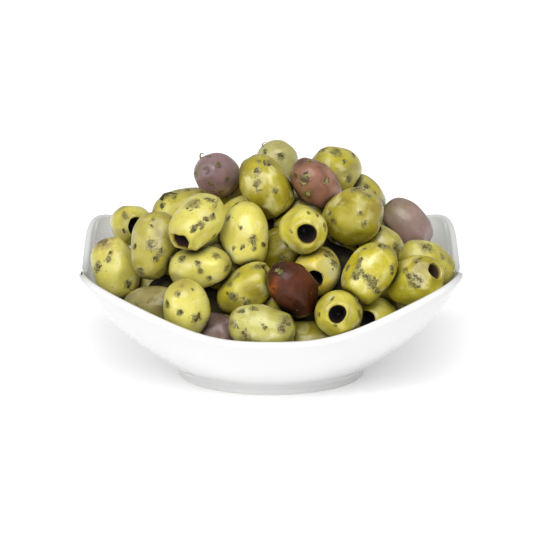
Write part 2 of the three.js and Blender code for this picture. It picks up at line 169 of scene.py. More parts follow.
# Clusters of herbs that show at the front: across and up in that view in steps of 0.412 mm, the
# cluster's reach in the same steps, and how many flakes it has
STEP = 0.412
HERBS = (
    # upper left
    (-78, 193, 8, 9), (-61, 197, 5, 5), (-64, 178, 3, 4), (-77, 168, 4, 6), (-70, 173, 3, 3),
    (-57, 180, 3, 3), (-56, 160, 3, 3), (-104, 202, 3, 4), (-108, 191, 3, 4), (-84, 208, 4, 5),
    (-97, 200, 3, 3), (-146, 181, 4, 4), (-148, 165, 3, 4), (-152, 190, 3, 3),
    # left
    (-168, 153, 6, 8), (-174, 130, 6, 9), (-163, 137, 3, 3), (-161, 144, 2, 2), (-143, 112, 4, 5),
    (-119, 170, 2, 3), (-118, 175, 2, 2), (-120, 152, 6, 9), (-115, 137, 3, 4), (-131, 126, 5, 6),
    (-111, 145, 5, 6), (-137, 150, 3, 3), (-100, 139, 3, 4), (-73, 133, 3, 3), (-71, 125, 3, 3),
    (-89, 137, 4, 4), (-54, 142, 5, 5), (-62, 118, 3, 3), (-45, 128, 3, 3), (-43, 178, 3, 5),
    (-30, 169, 2, 3), (-37, 149, 2, 3), (-28, 150, 2, 3), (-18, 157, 5, 6), (-18, 148, 3, 3),
    (-36, 192, 4, 4), (-8, 152, 3, 3), (-22, 196, 2, 2), (-75, 222, 3, 2), (-60, 212, 2, 2),
    (-52, 232, 3, 2), (-44, 216, 2, 2), (-70, 238, 2, 2), (-62, 240, 2, 1), (-50, 204, 3, 2),
    # lower left
    (-14, 130, 7, 9), (-41, 113, 4, 5), (-38, 100, 5, 8), (-34, 122, 4, 4), (-27, 98, 1, 1),
    (-24, 93, 4, 4), (-94, 102, 3, 3), (-91, 83, 3, 4), (-104, 92, 4, 4), (-74, 78, 6, 9),
    (-78, 107, 1, 1), (-61, 99, 3, 3), (-121, 96, 3, 3), (-134, 93, 2, 2), (-44, 80, 3, 3),
    (-29, 85, 3, 4), (-18, 88, 3, 3), (-38, 73, 4, 4), (-26, 60, 7, 8), (-6, 69, 2, 2),
    # top
    (-12, 235, 2, 2), (-13, 226, 4, 5), (-14, 214, 4, 5), (-13, 206, 2, 2), (-3, 234, 4, 5),
    (4, 206, 3, 4), (12, 190, 2, 3), (-4, 255, 3, 4), (-6, 245, 3, 3), (10, 240, 4, 4),
    (51, 247, 5, 6), (64, 244, 6, 7), (74, 235, 2, 3), (79, 218, 5, 8), (82, 241, 3, 3),
    (38, 236, 3, 4), (51, 234, 3, 3), (34, 218, 6, 9), (24, 221, 4, 5), (56, 216, 4, 5),
    (37, 202, 4, 5), (96, 211, 4, 4), (104, 203, 3, 3),
    # right
    (86, 205, 7, 6), (96, 200, 4, 3), (90, 183, 2, 2), (93, 173, 3, 3), (63, 176, 3, 3),
    (59, 184, 3, 3), (111, 178, 3, 3), (37, 182, 2, 3), (21, 166, 2, 2), (17, 153, 3, 3),
    (52, 170, 3, 4), (45, 181, 2, 2), (57, 143, 8, 11), (62, 133, 5, 6), (50, 120, 3, 4),
    (94, 148, 2, 3), (89, 136, 3, 4), (77, 129, 3, 4), (84, 121, 4, 5), (102, 113, 6, 9),
    (90, 124, 4, 5), (96, 119, 4, 6), (88, 130, 3, 4), (143, 116, 8, 5), (135, 126, 3, 3),
    (106, 106, 4, 5), (121, 130, 3, 3), (111, 150, 4, 5), (121, 123, 2, 2), (97, 117, 3, 4),
    (147, 118, 5, 7), (139, 121, 3, 3), (145, 111, 3, 3), (146, 135, 4, 5), (166, 121, 3, 3),
    (156, 150, 7, 8), (172, 140, 3, 3), (124, 150, 4, 4), (61, 98, 3, 3), (49, 81, 3, 3),
    (89, 83, 4, 4), (86, 96, 3, 4), (64, 71, 2, 2), (14, 75, 7, 9), (9, 68, 4, 5),
    (-6, 69, 2, 2), (-17, 88, 3, 3), (9, 125, 4, 5), (11, 138, 5, 6),
)

# Thin shoots and torn flaps: the places that each runs through in the same steps, the depth y in
# mm, its half width in mm and its tone, from dark herb at 0 to straw at 1
SHOOTS = (
    (((-64, 231), (-69, 236), (-71, 239.5), (-70.5, 243), (-68, 243.5), (-67, 242)),
     0.5, 0.5, 0.35),
    (((-189, 125), (-189.6, 121), (-187.5, 117.5)), -52.0, 0.3, 0.0),
    (((-57, 190), (-54, 195), (-52.6, 199.5)), -52.5, 0.9, 0.95),
    (((-110, 197), (-107, 202), (-101, 204), (-94, 202.5)), 0.5, 0.8, 0.05),
    (((-5, 247), (-9, 251.5), (-7.5, 254), (-4.5, 254.5)), 12.0, 0.35, 0.5),
)

# Patches where the skin is another colour: across, up, reach in the same steps, and strength
BLUSHES = (
    (-168, 156, 11, 1.0), (2, 108, 4.5, 0.8), (5, 117, 3, 0.4), (128, 188, 12, 0.8),
    (-72, 226, 7, 0.5), (-38, 222, 6, 0.4), (114, 190, 7, 0.6), (33, 205, 6, 0.3),
    (58, 131, 9, 1.0), (64, 120, 8, 0.9),
)

# How light the skin of each olive in SEEN is, from 0 to 1
TONES = (1.0, 0.2, 0.6, 0.35, 1.0, 0.55, 0.9, 0.85, 0.65, 0.15, 0.4, 1.0, 0.6, 0.4, 0.4, 0.45,
         0.7, 0.4, 0.5, 0.7, 0.4, 0.95, 1.0, 0.5, 0.6, 0.15, 0.35, 0.95, 0.7, 0.4, 0.0, 0.05)

# How much of the greyish herb mash covers an olive, by its row in SEEN
MASHED = {5: 0.5, 26: 0.6, 27: 0.3, 28: 0.35, 3: 0.25, 15: 0.5, 10: 0.35, 21: 0.3, 29: 0.3, 0: 0.3}

# How torn the edge of the hole is, and its radius where it is wide, in mm, by the row in SEEN
TORN = {6: 0.5, 7: 1.5, 8: 0.45, 13: 0.5, 16: 0.4, 20: 0.6}
BORES = {6: 4.1, 8: 4.0, 16: 3.6}


# ---- Layout of the heap ----

def clamp(value, low, high):
    """The value, kept from low to high."""
    return max(low, min(high, value))


def rim(c, s):
    """The lip's crest in the direction (c, s): its radius in plan, from a superellipse, and its
    height, a polynomial of q = s*s - c*c."""
    radius = RIM_HALF / (np.abs(c) ** RIM_SQUARE + np.abs(s) ** RIM_SQUARE) ** (1 / RIM_SQUARE)
    q = s * s - c * c
    w = RIM_WAVE
    return radius, w[0] + q * (w[1] + q * (w[2] + q * (w[3] + q * w[4])))


def rise(v):
    """Rise of a wall, 0 to 1, at the share v of the way out: mostly straight, then curling up."""
    return WALL_SHARE * v + (1 - WALL_SHARE) * v ** 4


def inner_height(v, top):
    """Height of the bowl's inside at the share v of the way from the floor's edge to the lip."""
    return FLOOR_HEIGHT + (top - FLOOR_HEIGHT) * rise(v)


def lip_over(x, y):
    """At (x, y): the distance from the middle, the lip's inner radius that way and its height."""
    r = sqrt(x * x + y * y)
    if r < 0.001:
        return 0.0, RIM_HALF - LIP, float(rim(1.0, 0.0)[1])
    radius, height = rim(x / r, y / r)
    return r, float(radius) - LIP, float(height)


def floor_under(x, y):
    """Height of the bowl's inside under (x, y)."""
    r, edge, top = lip_over(x, y)
    return inner_height(max(0.0, (r - FLOOR_RADIUS) / (edge - FLOOR_RADIUS)), top)


def layer(x, y, deep):
    """Height of the olives' middles over (x, y) in a layer: a dome that falls to the lip, and at
    the back no higher than what the front of the heap hides, a skyline with one hump."""
    r, edge, top = lip_over(x, y)
    low = top + EDGE_RISE
    dome = low + (APEX - low) * (1 - (r / edge / EDGE_SHARE) ** 1.5)
    skyline = SKY_LOW + SKY_HUMP * exp(-((x - SKY_MIDDLE) / SKY_WIDTH) ** 2)
    return min(dome, (skyline - SKY_MARGIN - SKY_SLOPE * y) / SKY_STEEP) - deep


def front_rise(up):
    """Height in the plane that faces the viewer through the aim, from the height over the foot."""
    base = FAR * (-AIM * FLAT - FOOT_FRONT * STEEP) / (FAR - FOOT_FRONT * FLAT + AIM * STEEP)
    return up + base


def seat(across, up, y):
    """The place that shows at (across, up) in the front view and lies at the depth y."""
    a = front_rise(up)
    height = (a * (1 + y * FLAT / FAR) - y * STEEP) / (FLAT + a * STEEP / FAR)
    return np.array([across * (1 + (y * FLAT - height * STEEP) / FAR), y, AIM + height])


def axis(turn, nod):
    """The way an olive's hole points, from its turn in the front view and its nod, in degrees."""
    t, n = radians(turn), radians(nod)
    right, up, near = cos(t) * cos(n), sin(t) * cos(n), sin(n)
    return np.array([right, up * STEEP - near * FLAT, up * FLAT + near * STEEP])


def draws(seed):
    """Seeded draws from 0 to 1: each number is the last times 16807, modulo 2147483647."""
    while True:
        seed = seed * 16807 % 2147483647
        yield seed / 2147483647


class Olive:
    """c is the middle, u the axis towards the hole, a and b half the length and width. Held olives
    show at the front and keep their place in the view."""

    def __init__(self, c, u, a, b, kind, held, deep):
        self.c, self.home, self.u = np.array(c, float), np.array(c, float), np.array(u, float)
        self.a, self.b, self.kind, self.held, self.deep = a, b, kind, held, deep
        self.move = np.zeros(3)

    def half(self):
        """Half its size along each of its own axes."""
        return np.array([self.b, self.b, self.a])

    def axes(self):
        """Its own axes, one row each: two across it and the one towards its hole."""
        u = self.u
        side = unit(np.array([-u[1], u[0], 0.0] if abs(u[2]) < 0.9 else [0.0, -u[2], u[1]]))
        return np.array([side, np.cross(u, side), u])


def strewn(draw, deep, k, tries):
    """An olive at the place k of a spiral over a layer, its turn and size drawn. None where it
    would lie in the floor or too far out."""
    turn = k * GOLDEN_TURN
    c, s = cos(turn), sin(turn)
    r = (float(rim(c, s)[0]) - LIP) * sqrt((k + 0.5) / tries) * REACH_SHARE
    x = c * r + 4 * draw() - 2
    y = s * r + 4 * draw() - 2
    z = layer(x, y, deep) + 2 * draw() - 1
    u = np.array([draw() - 0.5, draw() - 0.5, 0.6 * draw() - 0.3])
    b = HALF_WIDTH + draw()
    a = b * (LENGTH + LENGTH_RANGE * draw())
    buried = z < floor_under(x, y) + b * 0.6
    too_wide = deep == 0 and y > BACK_FROM and abs(x + 2) > BACK_WIDTH - 0.1 * y
    if buried or too_wide:
        return None
    return Olive((x, y, z), u / norm(u), a, b, "green", False, deep)


def hides(o, other):
    """Whether an olive lies in front of a held one."""
    d = o.c - other.c
    along = d @ LOOK
    return other.held and along < 4 and d @ d - along * along < (o.b + other.b) ** 2 * 0.9


def fill(olives, draw, deep, tries, nearness):
    """Adds olives to a layer where there is room and none of the held ones is hidden."""
    for k in range(tries):
        o = strewn(draw, deep, k, tries)
        if o and not any(hides(o, p) or norm(o.c - p.c) < (o.b + p.b) * nearness for p in olives):
            olives.append(o)


def nearest(o, p):
    """The step from one olive's middle line to the other's, where the two come nearest."""
    s, t = o.a - o.b, p.a - p.b
    d = o.c - p.c
    b, du, dw = o.u @ p.u, d @ o.u, d @ p.u
    first = clamp((b * dw - du) / max(0.001, 1 - b * b), -s, s)
    j = clamp(dw + b * first, -t, t)
    i = clamp(b * j - du, -s, s)
    return d + o.u * i - p.u * j


def pressed(o, p):
    """How far two olives press into each other, in mm."""
    step = nearest(o, p)
    return o.b + p.b - sqrt(step @ step)


def keep_inside(o):
    """Keeps an olive's ends and middle inside the bowl and over its floor."""
    reach = o.b + 0.8
    for t in (o.b - o.a, 0.0, o.a - o.b):
        x, y, z = o.c + o.u * t
        r, edge, top = lip_over(x, y)
        most = edge + 2
        if z <= top:
            v, step = 0.0, 0.5
            for _ in range(12):
                if inner_height(v + step, top) < z:
                    v += step
                step /= 2
            most = FLOOR_RADIUS + (edge - FLOOR_RADIUS) * v - reach * 1.12
        elif z < top + reach:
            most = edge - reach * sqrt(1 - ((z - top) / reach) ** 2)
        if r > most:
            o.c[:2] -= np.array([x, y]) * (r - most) / r
    o.c[2] = max(o.c[2], floor_under(o.c[0], o.c[1]) + o.b * 1.25)


def settle(olives, rounds):
    """Pushes olives that press into each other apart. The held ones give way along the line of
    sight, the others drift back to their layer."""
    for _ in range(rounds):
        for i, o in enumerate(olives):
            for p in olives[i + 1:]:
                d = o.c - p.c
                if d @ d > (o.a + p.a) ** 2:
                    continue
                e = nearest(o, p)
                distance = sqrt(e @ e)
                need = (o.b + p.b) * TOUCH
                if 0.001 <= distance < need:
                    share = 0.5
                    if o.held != p.held:
                        share = HELD_SHARE if o.held else 1 - HELD_SHARE
                    push = (need - distance) / distance
                    o.move = o.move + e * (push * share)
                    p.move = p.move - e * (push * (1 - share))
        for o in olives:
            o.c = o.c + o.move * 0.5
            o.move = np.zeros(3)
            if o.held:
                off = o.c - o.home
                along = off @ LOOK
                o.c = o.c - 0.3 * (off - along * LOOK) - 0.02 * along * LOOK
            else:
                high = layer(o.c[0], o.c[1], o.deep)
                o.c[2] = min(high + 2, o.c[2] + 0.15 * (high - o.c[2]))
                if o.deep == 0 and o.c[1] > BACK_FROM:
                    most = BACK_WIDTH - 0.1 * o.c[1]
                    o.c[0] = clamp(o.c[0], -2 - most, -2 + most)
            keep_inside(o)


def fill_gaps(olives, draw):
    """Puts olives into the gaps that are left, the upper gaps first."""
    for deep in GAP_DEPTHS:
        most = GAP_PRESSED + GAP_SHARE * deep
        for k in range(GAP_TRIES):
            o = strewn(draw, deep, k, GAP_TRIES)
            if o is None or o.c[1] < GAP_FROM:
                continue
            keep_inside(o)
            if all(not hides(o, p) and pressed(o, p) < most for p in olives):
                olives.append(o)


@lru_cache(maxsize=1)
def lay_out():
    """All olives: the held ones, then two layers filled and settled in rounds, then the gaps. An
    olive that stays pressed in the layers is taken out again."""
    olives = [Olive(seat(across, up, y), axis(turn, nod), a, b, kind, True, 0)
              for across, up, y, turn, nod, a, b, kind in SEEN]
    draw = draws(HEAP_SEED).__next__
    for nearness in NEARNESS:
        for deep, tries in LAYERS:
            fill(olives, draw, deep, tries, nearness)
        settle(olives, SETTLE_ROUNDS)
        kept = []
        for o in olives:
            if o.held or all(pressed(o, p) < MOST_PRESSED for p in kept):
                kept.append(o)
        olives = kept
    fill_gaps(olives, draw)
    return olives


# ---- Mesh helpers ----

def ripple(points, seed, reach, waves=8):
    """Smooth uneven values, about -1 to 1: the sum of sine waves about as long as the reach that
    run in random directions."""
    rng = np.random.RandomState(seed)
    total = np.zeros(points.shape[:-1])
    for _ in range(waves):
        way = rng.normal(size=3)
        way *= 2 * pi / (norm(way) * reach * rng.uniform(0.7, 1.5))
        total += np.sin(points @ way + rng.uniform(0, 2 * pi))
    return total / sqrt(waves)


def unit(v):
    """Each vector at the length 1."""
    return v / np.maximum(norm(v, axis=-1, keepdims=True), 1e-9)


def arc(start, end, count):
    """Even steps from one angle to another, both in degrees, as radians."""
    return np.radians(np.linspace(start, end, count))


def turned(c, s, rows, first, last):
    """Points of a round body: rows, each a radius and a height for every direction (c, s), between
    a point at the height first and one at the height last."""
    grid = np.array([np.stack([c * r, s * r, 0 * c + z], -1) for r, z in rows])
    return np.concatenate([[[0, 0, first]], grid.reshape(-1, 3), [[0, 0, last]]])


def tube_faces(rows, sides, bodies):
    """Quads between rows that close on themselves, and triangles to a point at each end, for so
    many bodies in turn. Their first and last points are the ends, and the rows turn anticlockwise
    seen from the last."""
    k = np.arange(sides)
    j = (k + 1) % sides
    i = np.arange(rows - 1)[:, None] * sides + 1
    quads = np.stack([i + k, i + j, i + j + sides, i + k + sides], -1).reshape(-1, 4)
    last = 1 + rows * sides
    ends = last - sides
    tris = np.concatenate([np.stack([k * 0, j + 1, k + 1], -1),
                           np.stack([k * 0 + last, ends + k, ends + j], -1)])
    shifts = np.arange(bodies)[:, None, None] * (last + 1)
    return [(f + shifts).reshape(-1, f.shape[1]) for f in (quads, tris)]


def add_object(name, data):
    """A new object in the scene."""
    thing = bpy.data.objects.new(name, data)
    bpy.context.scene.collection.objects.link(thing)
    return thing


def make_piece(name, points, rows, sides, material, attributes=None, smooth=True,
               nodes=("olives",)):
    """A mesh object of one tube or more, from points in millimetres, riding on the one body and
    standing for CAD nodes."""
    points = points.reshape(-1, 3) * MM
    faces = tube_faces(rows, sides, len(points) // (rows * sides + 2))
    mesh = bpy.data.meshes.new(name)
    mesh.from_pydata(points.tolist(), [], [f for group in faces for f in group.tolist()])
    mesh.polygons.foreach_set("use_smooth", np.full(len(mesh.polygons), smooth))
    for key, values in (attributes or {}).items():
        kind, field = ("FLOAT_VECTOR", "vector") if values.ndim == 2 else ("FLOAT", "value")
        data = mesh.attributes.new(key, kind, "POINT").data
        data.foreach_set(field, values.astype(np.float32).ravel())
    mesh.materials.append(material)
    piece = add_object(name, mesh)
    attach(piece, "root")
    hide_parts(*nodes)
    return piece


# ---- Material helpers ----

class Finish:
    """A material and short ways to add nodes to it. Sizes are in millimetres."""

    def __init__(self, name, **constants):
        self.material = bpy.data.materials.new(name)
        self.material.use_nodes = True
        self.nodes = self.material.node_tree.nodes
        self.links = self.material.node_tree.links
        self.shader = self.nodes["Principled BSDF"]
        for key, value in constants.items():
            self.shader.inputs[key.replace("_", " ")].default_value = value

    def add(self, kind, inputs, **settings):
        """A node with its settings, and its inputs set or linked."""
        node = self.nodes.new(kind)
        for key, value in settings.items():
            setattr(node, key, value)
        for key, value in inputs.items():
            self.set(node.inputs[key], value)
        return node

    def set(self, socket, value):
        """Links a socket to the value, or gives it the value."""
        if isinstance(value, bpy.types.NodeSocket):
            self.links.new(value, socket)
        else:
            socket.default_value = value

    def attribute(self, name, output="Fac"):
        """What the mesh says at each point."""
        return self.add("ShaderNodeAttribute", {}, attribute_name=name).outputs[output]

    def place(self):
        """The place on the piece."""
        return self.add("ShaderNodeTexCoord", {}).outputs["Object"]

    def noise(self, vector, size, detail=2.0, roughness=0.5, distortion=0.0):
        """Soft noise, about as coarse as the size."""
        return self.add("ShaderNodeTexNoise", {
            "Vector": vector, "Scale": 1000 / size, "Detail": detail, "Roughness": roughness,
            "Distortion": distortion}).outputs["Fac"]

    def cells(self, vector, size):
        """How far the nearest of scattered points lies."""
        return self.add("ShaderNodeTexVoronoi", {
            "Vector": vector, "Scale": 1000 / size}).outputs["Distance"]

    def span(self, value, low, high, to_low=0.0, to_high=1.0):
        """Maps low..high smoothly to to_low..to_high, and holds it outside."""
        return self.add("ShaderNodeMapRange", {
            "Value": value, "From Min": low, "From Max": high, "To Min": to_low,
            "To Max": to_high}, interpolation_type="SMOOTHSTEP").outputs["Result"]

    def maths(self, operation, a, b=0.0):
        """One operation on a value, or on two."""
        return self.add("ShaderNodeMath", {0: a, 1: b}, operation=operation).outputs[0]

    def times(self, a, b):
        """The product of two values."""
        return self.maths("MULTIPLY", a, b)

    def mix(self, share, a, b):
        """The colour a, turned by the share into the colour b."""
        a, b = (v if isinstance(v, bpy.types.NodeSocket) else (*v, 1.0) for v in (a, b))
        return self.add("ShaderNodeMix", {0: share, 6: a, 7: b}, data_type="RGBA").outputs[2]

    def layers(self, colour, *coats):
        """The colour under coats, each its share and its colour."""
        for share, coat in coats:
            colour = self.mix(share, colour, coat)
        return colour

    def bump(self, height, strength, distance, normal=None):
        """A normal that rises with the height, over another one if given."""
        inputs = {"Height": height, "Strength": strength, "Distance": distance * MM}
        if normal is not None:
            inputs["Normal"] = normal
        return self.add("ShaderNodeBump", inputs).outputs["Normal"]

    def end(self, colour, roughness=None, normal=None):
        """The material with what its shader gets."""
        for key, value in (("Base Color", colour), ("Roughness", roughness), ("Normal", normal)):
            if value is not None:
                self.set(self.shader.inputs[key], value)
        return self.material


# ---- Bowl ----

def glaze_finish(settings):
    """White glaze, faintly wavy, bare and rough on the ring that it stands on."""
    f = Finish("white_glaze", Specular_IOR_Level=0.5, Coat_Weight=0.35, Coat_Roughness=0.04,
               Subsurface_Weight=0.0)
    place = f.place()
    height = f.add("ShaderNodeSeparateXYZ", {"Vector": place}).outputs["Z"]
    bare = f.span(height, 0.00012, 0.0005, 1.0, 0.0)
    colour = f.layers(
        settings.glaze,
        (f.span(f.noise(place, 34), 0.35, 0.7), [c * 0.985 for c in settings.glaze]),
        (bare, (0.72, 0.69, 0.63)),
        (f.span(f.cells(place, 5.5), 0.02, 0.045, 0.12, 0.0), (0.55, 0.52, 0.47)))
    wave = f.bump(f.noise(place, 22, 1.0), 0.12, 0.25)
    grain = f.bump(f.noise(place, 0.5, 3.0), f.times(bare, 0.6), 0.08, wave)
    return f.end(colour, f.mix(bare, [0.09] * 3, [0.6] * 3), grain)


def bowl_points(settings):
    """Rows of points round the bowl, from under its foot, up the outside, over the lip and down the
    inside: each row is a radius and a height for every direction, and the directions lie closer
    together at the corners."""
    even = (np.arange(settings.bowl_sides) + 0.5) / settings.bowl_sides * 2 * pi
    turn = even + 0.09 * np.sin(4 * even)
    c, s = np.cos(turn), np.sin(turn)
    radius, top = rim(c, s)
    inside = FOOT_RADIUS - FOOT_WIDTH
    rows = [(r, RECESS) for r in (6, 14, 24, inside - 4, inside - 1.5, inside - 0.9)]
    rows += [(inside - 0.35, RECESS - 0.25), (inside - 0.1, RECESS - 0.8)]
    r = FOOT_ROUND_IN
    rows += [(inside + r - r * cos(a), r - r * sin(a)) for a in arc(0, 90, 5)]
    r = FOOT_ROUND_OUT
    rows += [(FOOT_RADIUS - r + r * sin(a), r - r * cos(a)) for a in arc(0, 90, 6)]
    rows.append((FOOT_RADIUS, 1.6))
    for v in np.linspace(0, 1, settings.wall_rows) ** 0.8:
        blend = exp(-(v / 0.03) ** 2)
        rows.append((FOOT_RADIUS + (radius + LIP - FOOT_RADIUS) * v,
                     FOOT_HEIGHT + (top - LIP - FOOT_HEIGHT) * rise(v) - 0.3 * blend))
    rows += [(radius + LIP * cos(a), top - LIP + LIP * sin(a)) for a in arc(0, 180, 13)[1:-1]]
    for v in np.linspace(1, 0, settings.wall_rows) ** 1.1:
        rows.append((FLOOR_RADIUS + (radius - LIP - FLOOR_RADIUS) * v, inner_height(v, top - LIP)))
    rows += [(r, FLOOR_HEIGHT) for r in (34, 24, 12, 4)]
    return turned(c, s, rows, RECESS, FLOOR_HEIGHT), len(rows)


def outward(o, local):
    """The way straight out of an olive's plain outline, near points in its own axes."""
    return unit(local / o.half() ** 2)


def flatten(o, seed, local, depth, planes):
    """Presses an olive flat in a few places: what stands over a plane that cuts its outline by up
    to the depth moves back to it, with a soft edge."""
    rng = np.random.RandomState(seed + 31)
    for _ in range(planes):
        n = unit(rng.normal(size=3) * np.array([1, 1, 0.6]))
        over = local @ n - norm(o.half() * n) + depth * rng.uniform(0.35, 1)
        local = local - n * (0.5 * (over + np.sqrt(over * over + 0.06)))[..., None]
    return local


def swell(o, seed, local):
    """Moves points of an olive in its own axes along its surface's direction: low swellings, a
    thicker end, flats and, on a wrinkled olive, creases where a wave turns over."""
    look = KINDS[o.kind]
    fat = 1 + 0.05 * sin(seed * 1.7) * local[..., 2:3] / o.a
    local = local * np.concatenate([fat, fat, np.ones_like(fat)], -1)
    height = 0.24 * ripple(local, seed, 17) + 0.05 * ripple(local, seed + 50, 6)
    fold = ripple(local * np.array([1, 1, 0.55]), seed + 90, 9, 5)
    height = height - look["wrinkle"] * (np.exp(-(fold / 0.28) ** 2) - 0.3)
    moved = local + outward(o, local) * height[..., None]
    return flatten(o, seed, moved, look["flat"], look["planes"])


def outline_size(o, local):
    """How many times an olive's plain outline reaches to each point: a superellipse, blunt at the
    end with the hole."""
    across = norm(local[..., :2], axis=-1) / o.b
    power = np.where(local[..., 2] > 0, BLUNT, ROUND)
    return (across ** power + (np.abs(local[..., 2]) / o.a) ** power) ** (1 / power)


def surface_at(o, seed, local, lift):
    """World points on an olive's skin, from points near it in its own axes, which move to its
    outline, off the hole's mouth, and then out by the lift."""
    skin = local / outline_size(o, local)[..., None]
    across = norm(skin[..., :2], axis=-1)
    clear = np.where(skin[..., 2] > 0, np.maximum(across, BORE * 1.2), across) / across
    skin = skin * np.stack([clear, clear, np.ones_like(clear)], -1)
    skin = swell(o, seed, skin / outline_size(o, skin)[..., None])
    return o.c + (skin + outward(o, skin) * np.asarray(lift)[..., None]) @ o.axes()


def olive_profile(o, seed, bore):
    """Radius and place along the axis, row by row: from the tip, over the body to the hole, round
    its edge and down to its end. The third column is 0 on the skin and grows to 1 in the hole."""
    rng = np.random.RandomState(seed)
    mouth = acos(((bore + EDGE_ROUND) / o.b) ** (BLUNT / 2))
    back = np.radians(-90 * np.linspace(1, 0, 16)[1:] ** 1.05)
    front = mouth * np.linspace(0, 1, 15)[1:]
    r = o.b * np.concatenate([np.cos(back) ** (2 / ROUND), np.cos(front) ** (2 / BLUNT)])
    z = o.a * np.concatenate([-np.abs(np.sin(back)) ** (2 / ROUND), np.sin(front) ** (2 / BLUNT)])
    z = z + KINDS[o.kind]["dimple"] * np.exp(-(r / 1.5) ** 2) * (z < 0)
    turn = np.radians([20, 42, 64, 90])
    rim_r = r[-1] - EDGE_ROUND * np.sin(turn)
    rim_z = z[-1] - EDGE_ROUND * (1 - np.cos(turn))
    deep = np.maximum(z[-1] - EDGE_ROUND - np.array(HOLE_ROWS), o.a - BORE_DEPTH)
    wide = bore * (np.array(HOLE_WIDTHS) + rng.uniform(-0.05, 0.06, len(HOLE_WIDTHS)))
    end_r = bore * np.array([0.4, 0.2])
    end_z = o.a - BORE_DEPTH - np.array([0.5, 1.0])
    radius = np.concatenate([r, rim_r, wide, end_r])
    along = np.concatenate([z, rim_z, deep, end_z])
    inside = np.concatenate([r * 0, [0.05, 0.1, 0.2, 0.3], np.linspace(0.4, 0.9, len(deep)),
                             [1, 1]])
    return radius, along, inside


def shade_from_neighbours(o, points):
    """How near other olives come to each point: 1 where they touch, and less with the gap. The skin
    turns this into painted shade between olives.
    """
    near = np.zeros(len(points))
    for other in lay_out():
        if other is not o and norm(other.c - o.c) < o.a + other.a + 3:
            off = points - other.c
            size = outline_size(other, off @ other.axes().T)
            gap = norm(off, axis=1) * (1 - 1 / np.maximum(size, 1e-3))
            near = np.maximum(near, np.exp(-(np.maximum(gap, 0) / CLOSE_REACH) ** 1.1))
    return near


def olive_points(o, index):
    """An olive's points and what its finish reads: the place on its own skin, the place along its
    axis, how far inside the hole, how light it is, how near the tip, its neighbours and patches of
    another colour are, and how much mash of herbs lies there and all over it."""
    seed = index + 1
    rng = np.random.RandomState(seed + 7)
    bore = BORES.get(index, BORE * rng.uniform(0.9, 1.08))
    radius, along, inside = olive_profile(o, seed, bore)
    turn = np.arange(OLIVE_SIDES) / OLIVE_SIDES * 2 * pi
    near_hole = (np.exp(-((radius - bore) / 1.1) ** 2) * (along > 0))[:, None]
    tear = TORN.get(index, rng.uniform(0.05, 0.3))
    oval = 1 + 0.05 * np.sin(2 * turn + rng.uniform(0, 6)) + 0.02 * np.sin(3 * turn)
    r = radius[:, None] * np.where(inside[:, None] > 0, oval, 1 + (oval - 1) * near_hole)
    z = along[:, None] - tear * near_hole * (1 + np.sin(3 * turn + rng.uniform(0, 6))
                                             + 0.5 * np.sin(7 * turn + rng.uniform(0, 6)))
    local = turned(np.cos(turn), np.sin(turn), zip(r, z), KINDS[o.kind]["dimple"] - o.a,
                   o.a - BORE_DEPTH - 1.1)
    inside = np.concatenate([[0], np.repeat(inside, OLIVE_SIDES), [1]])
    points = o.c + swell(o, seed, local) @ o.axes()
    same = np.ones(len(local))
    mash = 0.1 * same
    for place, reach, _ in herb_clusters()[index]:
        off = norm(local - place, axis=1) / (reach + MASH_MARGIN)
        mash = np.maximum(mash, 0.95 * np.exp(-off ** 2))
    return points, {
        "spot": (local + rng.uniform(-400, 400, 3)) * MM,
        "along": local[:, 2] / o.a,
        "inside": inside,
        "own": same * (TONES[index] if o.held else rng.uniform()),
        "mash": mash,
        "tip": np.exp(-(norm(local[:, :2], axis=1) / SCAR_WIDTH) ** 2) * (local[:, 2] < 0),
        "film": same * MASHED.get(index, rng.uniform(0.05, 0.35)),
        # how near other olives come, for the painted shade between olives
        "painted_contact_shade": shade_from_neighbours(o, points) * (inside < 0.3),
        "blush": blush_at(points) if o.held else 0 * same}


def view_ray(across, up):
    """The line of sight through (across, up) in the front view, in steps."""
    return unit(np.array([across * STEP, 0.0, AIM]) + front_rise(up * STEP) * UPWARD - EYE)


def blush_at(points):
    """How strongly each point lies in one of the patches, seen from the front."""
    total = np.zeros(len(points))
    off = points - EYE
    for across, up, reach, strength in BLUSHES:
        way = view_ray(across, up)
        beside = off - (off @ way)[:, None] * way
        total += strength * np.exp(-(norm(beside, axis=1) / (reach * STEP)) ** 2)
    return np.clip(total, 0, 1)


def struck(olives, way):
    """The olive that a line of sight meets first, and where in its own axes, or None."""
    best = None
    for index, o in enumerate(olives):
        start, step = o.axes() @ (EYE - o.c) / o.half(), o.axes() @ way / o.half()
        half, length = start @ step, step @ step
        root = half * half - length * (start @ start - 1)
        if root > 0:
            reach = (-half - sqrt(root)) / length
            if best is None or reach < best[0]:
                best = (reach, index, (start + step * reach) * o.half())
    return best and best[1:]


@lru_cache(maxsize=1)
def herb_clusters():
    """For each olive, its clusters of herbs: the middle in its own axes, the reach and how many
    flakes. The front's are given, and the rest are drawn on the sides that the front doesn't
    show."""
    rng = np.random.RandomState(CLUSTER_SEED)
    olives = lay_out()
    clusters = [[] for _ in olives]
    for across, up, reach, flakes in HERBS:
        hit = struck(olives, view_ray(across, up))
        if hit:
            clusters[hit[0]].append((hit[1], reach * STEP, flakes))
    for o, own in zip(olives, clusters):
        if o.deep > HERBS_DOWN_TO:
            continue
        for _ in range(rng.randint(7, 13)):
            place = unit(rng.normal(size=3) * np.array([1, 1, 1.3]))
            shown = o.held and place @ o.axes() @ LOOK < 0.1
            if not shown:
                place = place / outline_size(o, place)
                own.append((place, rng.uniform(0.8, 2.8), rng.randint(2, 9)))
    return clusters


